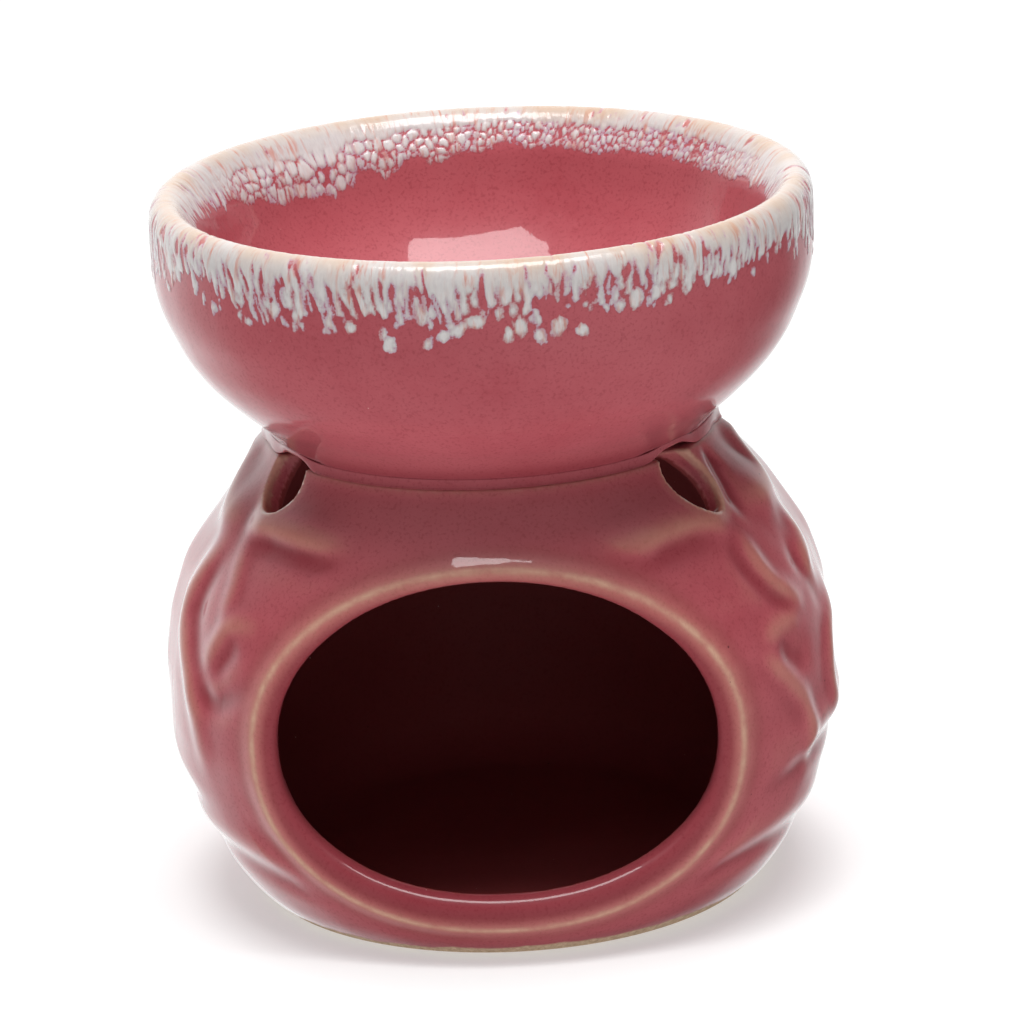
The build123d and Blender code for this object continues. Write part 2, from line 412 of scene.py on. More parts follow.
# ---------------------------------------------------------------- the base
def build_base(material):
    """The hollow base with its lip, vents and folds, and where its glaze is thin or pooled, with painted
    shade under the bowl and in the chamber.
    """
    cell = CELL
    low = (-GRID_HALF, -GRID_HALF, -GRID_BELOW)
    high = (GRID_HALF, GRID_HALF, BASE_TOP + GRID_BELOW)
    points, quads, normals = surface_of(base_gap, low, high, cell)
    x, y, z = points.T
    bearing = np.degrees(np.arctan2(x, -y))
    bulge = curvature(base_gap, points, 0.5)
    wide = curvature(base_gap, points, 1.6) - 2 / 50
    crest = relief(bearing, z, CRESTS)
    crease = relief(bearing, z, CREASES)
    thin = np.clip((bulge - 0.5) / 0.7, 0, 1) + np.clip(wide * 1.6, 0, 0.3) + 0.42 * crest
    thick = np.clip((-bulge - 0.2) / 0.8, 0, 1) * 0.5 + np.clip(-wide * 2.6, 0, 0.5) + 0.25 * crease
    front = (y < -8).astype(float)
    lip = oval(x, z, LIP_HALF, LIP_CENTRE, LIP_UP, LIP_DOWN)
    outside = np.hypot(x, y) > np.interp(z, SKIN_AT, SKIN) - 1.6
    line = front * outside * np.exp(-0.5 * ((lip + 0.1) / 0.32) ** 2)
    band = front * outside * np.exp(-0.5 * ((lip - 0.2) / 1.3) ** 2)
    bevel = front * np.clip((-0.9 - lip) / 1.2, 0, 1)
    for vent in VENTS:
        round_vent = vent_gap(x, y, z, *vent)
        line = np.maximum(line, 0.8 * outside * np.exp(-0.5 * ((round_vent - 0.25) / 0.28) ** 2))
    thin = np.clip(thin * (1 - bevel) * np.clip((76 - z) / 8, 0.35, 1), 0, 1) * (1 - 0.5 * band) + 0.34 * band
    # The opening's inner bevel is made darker; the band round the shoulder at about 69 mm is painted shade
    # under the bowl's overhang.
    thick = thick + 0.85 * bevel + 0.3 * outside * np.exp(-0.5 * ((z - 69) / 4) ** 2)
    # Marks the inside of the chamber, which the glaze paints dark as shade.
    inner = (np.hypot(x, y) < np.interp(z, SKIN_AT, SKIN) - WALL + 0.4).astype(float)
    thin, thick = thin * (1 - inner), thick * (1 - inner)
    piece = make_piece("chamber_base_glazed", points, quads, normals,
                       thin=thin, thick=thick, line=line, inner=inner)
    settle(piece, material, "chamber_base")


# ---------------------------------------------------------------- neck and bowl
BOWL_BOTTOM = 74.0
DISH_BOTTOM = 80.48
BOWL_BLUR = 0.5
BOWL_STEP = 0.7
BOWL_COLUMNS = 480
BOWL_OUTER = (
    (34.3, 74.0), (34.6, 75.2), (35.6, 77.0), (37.8, 79.4), (40.8, 82.0), (44.8, 86.0), (47.7, 90.0),
    (49.6, 94.0), (51.2, 98.0), (52.0, 102.0), (52.1, 106.0), (52.1, 110.0), (52.0, 111.8), (51.3, 113.4),
    (50.0, 114.3), (48.6, 114.1), (47.2, 112.9), (45.6, 110.6), (44.3, 108.4), (43.3, 105.4), (41.9, 101.8),
    (39.6, 97.8), (36.4, 94.0), (31.4, 89.6), (25.4, 85.8), (18.0, 82.8), (10.0, 81.0), (4.0, 80.5),
)


def profile_path(points, step, blur):
    """A smooth section line through (radius, height) points, evenly spaced: its radii and heights."""
    p = catmull(points, 24)
    run = np.concatenate([[0], np.cumsum(np.hypot(*np.diff(p, axis=0).T))])
    at = np.arange(0, run[-1], step)
    r, z = np.interp(at, run, p[:, 0]), np.interp(at, run, p[:, 1])
    if blur:
        ends = (r[0], z[0]), (r[-1], z[-1])
        r, z = blurred(r, blur / step), blurred(z, blur / step)
        (r[0], z[0]), (r[-1], z[-1]) = ends
    return r, z


def wobble(bearing, z):
    """The slight unevenness of a hand-finished pot, in millimetres of radius."""
    b = np.radians(bearing)
    return 0.10 * np.cos(2 * b + 0.6) + 0.05 * np.cos(3 * b + z / 9) + 0.03 * np.cos(7 * b + 2 + z / 5)


def revolve(r, z, columns):
    """Points of a section line turned round +Z, row by row."""
    bearing = np.arange(columns) * TURN / columns
    b = np.radians(bearing)[None]
    rr = r[:, None] + wobble(bearing[None], z[:, None]) * np.clip((r[:, None] - 20) / 15, 0, 1)
    x, y = rr * np.sin(b), -rr * np.cos(b)
    return np.stack([x, y, np.broadcast_to(z[:, None], x.shape)], -1).reshape(-1, 3)


# Where the folds of the base climb the neck: (bearing, climb, width in bearing).
NECK_CLIMBS = (
    (-98, 1.6, 17), (94, 1.5, 17), (120, 0.9, 12), (-120, 0.9, 12), (150, 0.8, 10), (-150, 0.8, 10),
)
NECK_COLUMNS = 480
NECK_ROWS = 14
NECK_STEP = 0.2
NECK_PART = 60
NECK_CLIMB = 0.5
VENT_ARCH = 1.3
FOOT_CUT_TOP = 76.1
FOOT_CUT_DEPTH = 7.0


def beside_vents(bearing, width):
    """One at the bearing of each vent, nought away from them."""
    near = np.zeros_like(bearing)
    for vent in VENTS:
        du = (bearing - vent[0] + TURN / 2) % TURN - TURN / 2
        near = np.maximum(near, np.exp(-0.5 * (du / width) ** 4))
    return near


def build_neck(material):
    """The slip that joins the bowl to the collar: a concave fillet that climbs higher where the folds end."""
    columns = NECK_COLUMNS
    bearing = np.arange(columns) * TURN / columns
    climb = np.full(columns, NECK_CLIMB)
    for centre, height, width in NECK_CLIMBS:
        du = (bearing - centre + TURN / 2) % TURN - TURN / 2
        climb += height * np.exp(-0.5 * (du / width) ** 2)
    notch = blurred(beside_vents(bearing, 6.5), 2.0)
    climb *= 1 - 0.8 * notch
    r, z = profile_path(BOWL_OUTER, NECK_STEP, BOWL_BLUR)
    low = BASE_TOP + VENT_ARCH * notch
    tops = low + 1 + climb * (1 - 0.4 * notch)
    edge = np.interp(tops, z[:NECK_PART], r[:NECK_PART])
    under = np.interp(low, z[:NECK_PART], r[:NECK_PART])
    foot = np.interp(BASE_TOP, SKIN_AT, SKIN) + relief(bearing, np.full(columns, BASE_TOP)) - 0.12
    foot = np.maximum(foot * (1 - notch) + (under + 0.15) * notch, under + 0.1)
    t = np.linspace(0, 1, NECK_ROWS)[:, None]
    bend_r = edge + 0.08 * (foot - edge)
    bend_z = low + 0.22 * (tops - low)
    curve_r = (1 - t) ** 2 * foot + 2 * t * (1 - t) * bend_r + t * t * (edge + 0.02)
    curve_z = (1 - t) ** 2 * low + 2 * t * (1 - t) * bend_z + t * t * tops
    ends_r = np.stack([edge - 0.6, under - 1.2, under - 1.2, under - 0.8])
    ends_z = np.stack([tops - 0.1, low + 0.6, low + 0.1, low - 0.1])
    rr = np.vstack([curve_r, ends_r])
    zz = np.vstack([curve_z, ends_z])
    rr = rr + wobble(bearing[None], zz)
    b = np.radians(bearing)[None]
    points = np.stack([rr * np.sin(b), -rr * np.cos(b), zz], -1).reshape(-1, 3)
    quads = grid_quads(len(rr), columns, True)
    none = np.zeros(len(points))
    pooled = np.interp(t[:, 0], (0, 0.5, 1), (0.1, 0.35, 0.3))
    thick = np.repeat(np.concatenate([pooled, np.zeros(len(ends_r))]), columns)
    piece = make_piece("neck_slip_ring", points, quads, thin=none, thick=thick, line=none, inner=none)
    settle(piece, material, "luting_slip")


def build_bowl(material):
    """The dish: one turned skin from its foot over the lip to the middle, closed underneath."""
    step = BOWL_STEP
    r, z = profile_path(BOWL_OUTER, step, BOWL_BLUR)
    r = np.concatenate([[2.0], r, [1.0]])
    z = np.concatenate([[BOWL_BOTTOM], z, [DISH_BOTTOM]])
    columns = BOWL_COLUMNS
    points = revolve(r, z, columns)
    quads = grid_quads(len(r), columns, False)
    out_at = np.hypot(points[:, 0], points[:, 1])
    at = np.degrees(np.arctan2(points[:, 0], -points[:, 1]))
    cut = beside_vents(at, 9.0) * np.clip((FOOT_CUT_TOP - points[:, 2]) / 0.7, 0, 1)
    cut *= np.clip((out_at - 26) / 3, 0, 1)
    points[:, :2] *= (1 - FOOT_CUT_DEPTH * cut / np.maximum(out_at, 20))[:, None]
    centre = np.array([[0, 0, BOWL_BOTTOM], [0, 0, DISH_BOTTOM]])
    last = len(points)
    points = np.vstack([points, centre])
    half = np.arange(0, columns, 2)
    one_on, two_on = (half + 1) % columns, (half + 2) % columns
    top = (len(r) - 1) * columns
    floor = np.stack([np.full(len(half), last), two_on, one_on, half], -1)
    dish = np.stack([np.full(len(half), last + 1), top + half, top + one_on, top + two_on], -1)
    quads = np.vstack([quads, floor, dish])
    height, radius = points[:, 2], np.hypot(points[:, 0], points[:, 1])
    ledge = np.exp(-0.5 * ((height - 113.8) / 1.2) ** 2)
    # Painted shade and dark reflection: a band round the bowl's underside by the neck, darkened.
    under = np.exp(-0.5 * ((height - 76.0) / 1.6) ** 2) * (radius > 30)
    # The bowl's bottom face is the chamber's ceiling and is marked inner, so it gets the painted chamber
    # shade.
    piece = make_piece("wax_bowl_glazed", points, quads, thin=0.5 * ledge, thick=0.8 * under,
                       line=np.zeros(len(points)), inner=(height < BOWL_BOTTOM + 0.05).astype(float))
    settle(piece, material, "wax_bowl")


# ---------------------------------------------------------------- the second glaze on the rim
RIM_COAT = 0.18
RIM_HIDE = 0.11
RIM_BACK = 0.55
RIM_LINE = 0.1
RIM_STEP = 0.3
RIM_COLUMNS = 1320
RIM_DOWN_OUTSIDE = 20.5
RIM_DOWN_INSIDE = 15.5
RIM_SEED = 20
RIM_DROPS = 170


def noise_line(rng, count, low, high):
    """Smooth closed random numbers, one for each of many bearings."""
    b = np.linspace(0, 2 * math.pi, count, endpoint=False)
    out = np.zeros(count)
    for n in range(low, high):
        out += rng.normal() * np.cos(n * b + rng.uniform(0, 6.28)) / math.sqrt(high - low)
    return out


def noise_field(rng, shape, across, down):
    """Smooth random numbers over the rim, closed round it, with a spread of about one."""
    rows, columns = shape
    fy = np.fft.fftfreq(rows)[:, None] * down
    fx = np.fft.rfftfreq(columns)[None] * across
    soft = np.exp(-19.7 * (fx * fx + fy * fy))
    out = np.fft.irfft2(np.fft.rfft2(rng.normal(size=shape)) * soft, s=shape)
    return out / out.std()


def leaned(field, shift):
    """A field with every row slid sideways by its own number of columns."""
    columns = field.shape[1]
    at = np.arange(columns)[None] - shift
    left = np.floor(at).astype(int)
    part = at - left
    row = np.arange(field.shape[0])[:, None]
    return field[row, left % columns] * (1 - part) + field[row, (left + 1) % columns] * part


RIM_ARC = 52.0
# By bearing: how far the white reaches inside, how much of that is closed, how large its cells are.
INNER_BEARINGS = (0, 60, 90, 110, 130, 150, 180, 197, 210, 217, 229, 240, 250, 270, 300, 360)
INNER_REACH = (5.5, 6.2, 6.6, 7.4, 7.8, 7.4, 7.2, 8.6, 10.2, 12.2, 11.0, 9.0, 8.0, 7.2, 6.2, 5.5)
INNER_CELLED = (0, 0, 0.2, 0.8, 1, 1, 1, 1, 1, 1, 1, 1, 0.6, 0.1, 0, 0)
CELL_SIZES = (1.5, 1.5, 1.3, 1.2, 1.2, 1.2, 1.3, 1.7, 2.1, 2.3, 2.1, 1.8, 1.6, 1.4, 1.4, 1.5)
# By bearing: how far the white reaches outside before it breaks up, and how the runs lean.
OUTER_BEARINGS = (0, 30, 60, 90, 120, 240, 270, 300, 315, 335, 360)
OUTER_REACH = (9.0, 8.0, 8.0, 11.5, 8.5, 8.5, 11.0, 8.8, 9.4, 9.8, 9.0)
OUTER_LEAN = (0.10, -0.10, -0.25, -0.10, 0, 0, 0.2, 0.35, 0.35, 0.25, 0.10)
RUN_WIDTH = 0.27
RUN_LENGTH = 0.95


def rim_cover(bearing, drop):
    """How far inside the white glaze each place on the rim is, in millimetres, negative where bare.
    Drop runs down the outside from the crest, and is negative on the inside."""
    rng = np.random.default_rng(RIM_SEED)
    shape = bearing.shape
    whole = TURN * math.radians(1) * RIM_ARC
    per_mm = shape[1] / whole
    rows_mm = 1 / abs(drop[1, 0] - drop[0, 0])
    degrees = bearing[0]
    lean = np.interp(degrees, OUTER_BEARINGS, OUTER_LEAN)
    shift = lean[None] * np.maximum(drop, -3) * per_mm
    runs = leaned(noise_field(rng, shape, RUN_WIDTH * per_mm, RUN_LENGTH * rows_mm), shift)
    wide = leaned(noise_field(rng, shape, 1.5 * per_mm, 3.5 * rows_mm), shift)
    grain = noise_field(rng, shape, 0.16 * per_mm, 0.22 * rows_mm)
    warp = 0.16 * noise_field(rng, shape, 0.5 * per_mm, 0.7 * rows_mm)
    arc = bearing * math.radians(1) * RIM_ARC + warp
    fall = drop + np.roll(warp, shape[1] // 3, axis=1)

    def gap_to(centre):
        return (arc - centre + whole / 2) % whole - whole / 2

    outer = np.interp(degrees, OUTER_BEARINGS, OUTER_REACH) * (1 + 0.09 * noise_line(rng, shape[1], 4, 22))
    inner = np.interp(degrees, INNER_BEARINGS, INNER_REACH) * (1 + 0.07 * noise_line(rng, shape[1], 6, 40))
    out_part = np.maximum(drop, 0) / outer[None]
    in_part = np.maximum(-drop, 0) / inner[None]
    level = np.interp(out_part, (0, 0.28, 0.5, 0.72, 0.9, 1.08), (3.0, 2.3, 1.7, 0.85, 0.0, -5.0))
    level = np.minimum(level, np.interp(in_part, (0, 0.4, 0.75, 1.0, 1.25), (3.2, 2.2, 1.2, 0.0, -3.0)))
    celled = np.interp(degrees, INNER_BEARINGS, INNER_CELLED)[None] * np.clip((in_part - 0.2) / 0.25, 0, 1)
    open_run = np.interp(np.maximum(out_part, in_part), (0, 0.3, 0.7), (0.8, 1.15, 1.2))
    cover = 0.38 * (level + (open_run * runs + 0.6 * wide) * (1 - 0.75 * celled) + 0.12 * grain)
    first, second = np.full(shape, 99.0), np.full(shape, 99.0)
    place = 0.0
    while place < whole - 0.6:
        degree = math.degrees(place / RIM_ARC)
        size = float(np.interp(degree, INNER_BEARINGS, CELL_SIZES))
        for row in range(int(14 / size)):
            a, b = rng.uniform(size=2)
            level_at = (row + 0.9 * (b - 0.5)) * size
            centre = place + (a - 0.5 + 0.6 * (row % 2)) * size * 0.8
            near = np.hypot(gap_to(centre), (drop + level_at) * 0.9)
            near = near + size * 0.22 * rng.uniform(-1, 1)
            closer = near < first
            second = np.where(closer, first, np.minimum(second, near))
            first = np.where(closer, near, first)
        place += size * rng.uniform(0.8, 1.2)
    cells = np.minimum((second - first) * 0.95 - 0.05, 1.5 - first) + 0.06 * grain
    blend = celled * np.clip((in_part - 0.3) / 0.2, 0, 1)
    cells = cells + 1.2 * (1 - blend)
    cover = np.where(drop < 0, np.minimum(cover + 0.45 * blend, np.maximum(cells, cover - 1.2)), cover)
    ragged = 1 + 0.10 * grain
    place = 0.0
    while place < whole - 0.8:
        width = rng.uniform(0.4, 0.85)
        degree = math.degrees(place / RIM_ARC)
        reach = float(np.interp(degree, degrees, outer))
        slope = float(np.interp(degree, degrees, lean)) + rng.uniform(-0.06, 0.06)
        start = reach * 0.6
        end = reach * (0.78 + min(rng.gamma(2.2, 0.10), 0.42)) - width
        u = gap_to(place + slope * fall)
        along = np.clip(fall, start, end)
        part = (along - start) / (end - start)
        run = width * (0.75 + 0.30 * part) * ragged - np.hypot(u, (fall - along) * 0.85)
        cover = np.maximum(cover, run)
        place += width * 2 + rng.uniform(0.0, 0.9)
    for _ in range(RIM_DROPS):
        degree = rng.uniform(0, TURN)
        reach = float(np.interp(degree, degrees, outer))
        size = rng.uniform(0.35, 0.85)
        tall = size * rng.uniform(1.1, 1.8)
        spot = reach * rng.uniform(0.92, 1.26)
        u = gap_to(degree * math.radians(1) * RIM_ARC)
        drops = (ragged - np.hypot(u / size, (fall - spot) / tall)) * size
        cover = np.maximum(cover, drops)
    for degree, at, size, tall, turn in FRONT_BLOBS:
        u = gap_to(degree * math.radians(1) * RIM_ARC)
        v = fall - at
        c, d = math.cos(math.radians(turn)), math.sin(math.radians(turn))
        drops = (ragged - np.hypot((u * c + v * d) / size, (v * c - u * d) / tall)) * min(size, tall)
        cover = np.maximum(cover, drops)
    return cover


# Large single drops on the front: bearing, drop below the crest, half width, half height, turn.
FRONT_BLOBS = (
    (-14.2, 13.4, 1.25, 1.45, 0), (-7.6, 13.2, 0.9, 1.0, 0), (-5.0, 12.0, 1.5, 1.1, -35),
    (-2.6, 10.9, 1.7, 1.2, -35), (0.2, 9.8, 1.6, 1.3, -40), (5.6, 12.0, 1.0, 1.5, 0),
    (7.8, 10.9, 1.3, 1.9, 10), (10.8, 12.7, 1.2, 1.4, 0),
    (14.0, 11.6, 1.2, 1.8, 0), (17.9, 12.6, 1.2, 1.2, 0), (24.6, 9.6, 1.0, 1.5, 8), (27.6, 8.6, 1.4, 1.9, 8),
    (31.6, 8.2, 1.3, 1.8, 8), (38.4, 6.8, 1.2, 2.2, 14), (42.0, 7.8, 1.0, 1.2, 0), (45.0, 7.4, 0.9, 1.0, 0),
    (-24.6, 10.4, 0.9, 1.2, 0), (-20.8, 11.0, 0.9, 1.2, 0), (-31.0, 9.8, 0.8, 1.2, 0),
    (-35.4, 9.4, 1.2, 1.6, 0),
)


def build_rim(material):
    """The white glaze as a thin closed skin, proud where it is and sunk in the bowl where it isn't."""
    step = RIM_STEP
    columns = RIM_COLUMNS
    r, z = profile_path(BOWL_OUTER, RIM_LINE, BOWL_BLUR)
    crest = int(np.argmax(z))
    first = crest - int(RIM_DOWN_OUTSIDE / RIM_LINE)
    last = crest + int(RIM_DOWN_INSIDE / RIM_LINE)
    keep = np.arange(first, last, max(1, int(round(step / RIM_LINE))))
    nr, nz = np.gradient(z), -np.gradient(r)
    size = np.hypot(nr, nz)
    nr, nz = nr / size, nz / size
    drop = (crest - keep) * RIM_LINE
    bearing = np.arange(columns) * TURN / columns
    shape = (len(keep), columns)
    cover = rim_cover(np.broadcast_to(bearing[None], shape), np.broadcast_to(drop[:, None], shape))
    dome = 1 - np.exp(-np.clip(cover, 0, None) / 0.5)
    lift = np.where(cover > 0, RIM_COAT * dome, -RIM_HIDE * (1 - np.exp(np.clip(cover, -9, 0) / 0.25)))
    b = np.radians(bearing)[None]
    base = r[keep][:, None] + wobble(bearing[None], z[keep][:, None])
    out_r = base + nr[keep][:, None] * lift
    out_z = z[keep][:, None] + nz[keep][:, None] * lift
    skin = np.stack([out_r * np.sin(b), -out_r * np.cos(b), out_z], -1)
    back = keep[::12][::-1]
    in_r = r[back][:, None] + wobble(bearing[None], z[back][:, None]) - nr[back][:, None] * RIM_BACK
    in_z = np.broadcast_to((z[back] - nz[back] * RIM_BACK)[:, None], in_r.shape)
    inside = np.stack([in_r * np.sin(b), -in_r * np.cos(b), in_z], -1)
    points = np.vstack([skin.reshape(-1, 3), inside.reshape(-1, 3)])
    quads = grid_quads(len(keep) + len(back), columns, True)
    hidden = len(back) * columns
    depth = np.concatenate([cover.ravel(), np.full(hidden, -2.0)])
    place = np.concatenate([np.repeat(drop, columns), np.repeat((crest - back) * RIM_LINE, columns)])
    piece = make_piece("rim_glaze_poured", points, quads, cover=depth, drop=place)
    settle(piece, material, "rim_glaze")


# ---------------------------------------------------------------- materials
class Shader:
    """Short words for building a node tree."""

    def __init__(self, name):
        self.material = bpy.data.materials.new(name)
        self.material.use_nodes = True
        self.tree = self.material.node_tree
        self.principled = self.tree.nodes["Principled BSDF"]

    def node(self, kind, inputs=None, **settings):
        made = self.tree.nodes.new(kind)
        for key, value in settings.items():
            setattr(made, key, value)
        for key, value in (inputs or {}).items():
            socket = made.inputs[key]
            if isinstance(value, bpy.types.NodeSocket):
                self.tree.links.new(value, socket)
            else:
                socket.default_value = value
        return made

    def link(self, source, socket):
        self.tree.links.new(source, self.principled.inputs[socket])

    def math(self, operation, a, b=0.0, clamp=False):
        return self.node("ShaderNodeMath", {0: a, 1: b}, operation=operation, use_clamp=clamp).outputs[0]

    def span(self, value, low, high, to_low=0.0, to_high=1.0):
        return self.node("ShaderNodeMapRange", {0: value, 1: low, 2: high, 3: to_low, 4: to_high}).outputs[0]

    def mix(self, factor, a, b, blend="MIX"):
        made = self.tree.nodes.new("ShaderNodeMix")
        made.data_type = "RGBA"
        made.blend_type = blend
        for socket, value in ((made.inputs["Factor"], factor), (made.inputs[6], a), (made.inputs[7], b)):
            if isinstance(value, bpy.types.NodeSocket):
                self.tree.links.new(value, socket)
            elif isinstance(value, tuple):
                socket.default_value = (*value, 1)
            else:
                socket.default_value = value
        return made.outputs[2]

    def noise(self, where, scale, detail=2.0, rough=0.5, distortion=0.0):
        inputs = {"Vector": where, "Scale": scale, "Detail": detail, "Roughness": rough}
        return self.node("ShaderNodeTexNoise", {**inputs, "Distortion": distortion}).outputs["Fac"]

    def cells(self, where, scale):
        return self.node("ShaderNodeTexVoronoi", {"Vector": where, "Scale": scale}, feature="F1")

    def attribute(self, name):
        return self.node("ShaderNodeAttribute", attribute_name=name).outputs["Fac"]

    def bump(self, height, strength, distance, normal=None):
        inputs = {"Height": height, "Strength": strength, "Distance": distance}
        if normal is not None:
            inputs["Normal"] = normal
        return self.node("ShaderNodeBump", inputs).outputs["Normal"]


ROSE_DEEP = (0.220, 0.022, 0.032)
ROSE = (0.410, 0.076, 0.094)
ROSE_LIGHT = (0.500, 0.122, 0.142)
PEACH = (0.560, 0.300, 0.205)
CLAY = (0.640, 0.490, 0.340)
CLAY_DUST = (0.420, 0.290, 0.190)
BEADED = (0.660, 0.430, 0.300)
# Painted shade: the dark red that stands for the shade inside the chamber.
PAINTED_CHAMBER_SHADE = (0.180, 0.026, 0.023)
IRON_SPECK = (0.050, 0.008, 0.010)
PALE_SPECK = (0.720, 0.500, 0.440)
PALE_FLECK = (0.780, 0.620, 0.580)


def specks(s, where, scale, low, high):
    """Small scattered spots, of different sizes, most of them missing."""
    dots = s.cells(where, scale)
    pick = s.span(s.node("ShaderNodeSeparateColor", {0: dots.outputs["Color"]}).outputs[0], low, low + 0.02)
    size = s.node("ShaderNodeSeparateColor", {0: dots.outputs["Color"]}).outputs[1]
    reach = s.math("MULTIPLY", s.span(size, 0, 1, 0.35, 1.0), high)
    spot = s.span(s.math("SUBTRACT", reach, dots.outputs["Distance"]), 0.0, high * 0.5)
    return s.math("MULTIPLY", spot, pick, clamp=True)


def rose_glaze():
    """Transparent rose glaze: deep where it pools and where shade under the bowl is painted, peach where it
    breaks over an edge, painted dark as shade inside the chamber, speckled, glossy.
    """
    s = Shader("rose_glaze_fired")
    where = s.node("ShaderNodeTexCoord").outputs["Object"]
    spot = s.node("ShaderNodeSeparateXYZ", {0: where})
    cloud = s.noise(where, 28, 3, 0.55)
    mottle = s.noise(where, 420, 4, 0.65)
    grain = s.noise(where, 1900, 2, 0.6)
    colour = s.mix(s.span(cloud, 0.35, 0.7), ROSE, ROSE_LIGHT)
    colour = s.mix(s.span(mottle, 0.35, 0.75, 0, 0.35), colour, ROSE_LIGHT)
    colour = s.mix(s.span(grain, 0.30, 0.48, 0.35, 0), colour, ROSE_DEEP)
    # Darker where the glaze pools, and where shade is painted under the bowl.
    thick = s.attribute("thick")
    colour = s.mix(s.math("MULTIPLY", thick, 0.75, clamp=True), colour, ROSE_DEEP)
    breaking = s.math("MULTIPLY", s.attribute("thin"), s.span(mottle, 0.25, 0.7, 0.75, 1.1), clamp=True)
    colour = s.mix(s.math("MULTIPLY", breaking, 0.62, clamp=True), colour, PEACH)
    line = s.math("MULTIPLY", s.attribute("line"), s.span(s.noise(where, 260, 3, 0.6), 0.3, 0.6, 0.35, 1.0))
    colour = s.mix(s.math("MULTIPLY", line, 0.8, clamp=True), colour, BEADED)
    # Painted shade: the inside of the chamber and the underside of the bowl are darkened.
    colour = s.mix(s.math("MULTIPLY", s.attribute("inner"), 0.8), colour, PAINTED_CHAMBER_SHADE)
    dark = specks(s, where, 330, 0.80, 0.085)
    colour = s.mix(s.math("MULTIPLY", dark, 0.7), colour, IRON_SPECK)
    pale = specks(s, where, 420, 0.86, 0.06)
    colour = s.mix(s.math("MULTIPLY", pale, 0.6), colour, PALE_SPECK)
    flecks = specks(s, where, 150, 0.90, 0.055)
    colour = s.mix(s.math("MULTIPLY", flecks, 0.75), colour, PALE_FLECK)
    ragged = s.math("ADD", spot.outputs["Z"], s.span(s.noise(where, 160, 3), 0.3, 0.7, -0.0004, 0.0004))
    lean = s.span(spot.outputs["X"], -0.03, 0.03, -0.0005, 0.0004)
    bare = s.span(s.math("SUBTRACT", ragged, lean), 0.0016, 0.0021, 1, 0)
    dusty = s.mix(s.span(s.noise(where, 1300, 3, 0.7), 0.35, 0.7), CLAY, CLAY_DUST)
    colour = s.mix(bare, colour, dusty)
    s.link(colour, "Base Color")
    dull = s.math("MULTIPLY", s.attribute("inner"), 0.6)
    s.link(s.math("MAXIMUM", s.span(bare, 0, 1, 0.32, 0.85), dull), "Roughness")
    coated = s.span(s.attribute("inner"), 0, 1, 1.0, 0.06)
    s.link(s.math("SUBTRACT", coated, bare, clamp=True), "Coat Weight")
    s.principled.inputs["Coat Roughness"].default_value = 0.045
    s.principled.inputs["Coat IOR"].default_value = 1.46
    s.principled.inputs["IOR"].default_value = 1.45
    s.principled.inputs["Specular IOR Level"].default_value = 0.15
    waves = s.noise(where, 95, 2, 0.4)
    peel = s.noise(where, 620, 2, 0.5)
    pits = specks(s, where, 300, 0.9, 0.06)
    normal = s.bump(waves, 0.35, 0.0006)
    normal = s.bump(peel, 0.12, 0.0001, normal)
    normal = s.bump(s.math("SUBTRACT", 1, pits), 0.35, 0.00012, normal)
    s.link(normal, "Normal")
    s.link(normal, "Coat Normal")
    return s.material


WHITE = (0.60, 0.565, 0.55)
GREY = (0.50, 0.46, 0.465)
LAVENDER = (0.50, 0.31, 0.42)
THIN_PINK = (0.50, 0.20, 0.22)
ROSE_GAP = (0.42, 0.085, 0.10)
SALMON = (0.56, 0.235, 0.185)
TAN = (0.55, 0.37, 0.25)
CREAM = (0.62, 0.53, 0.45)
DRIP_HEART = (0.78, 0.76, 0.75)


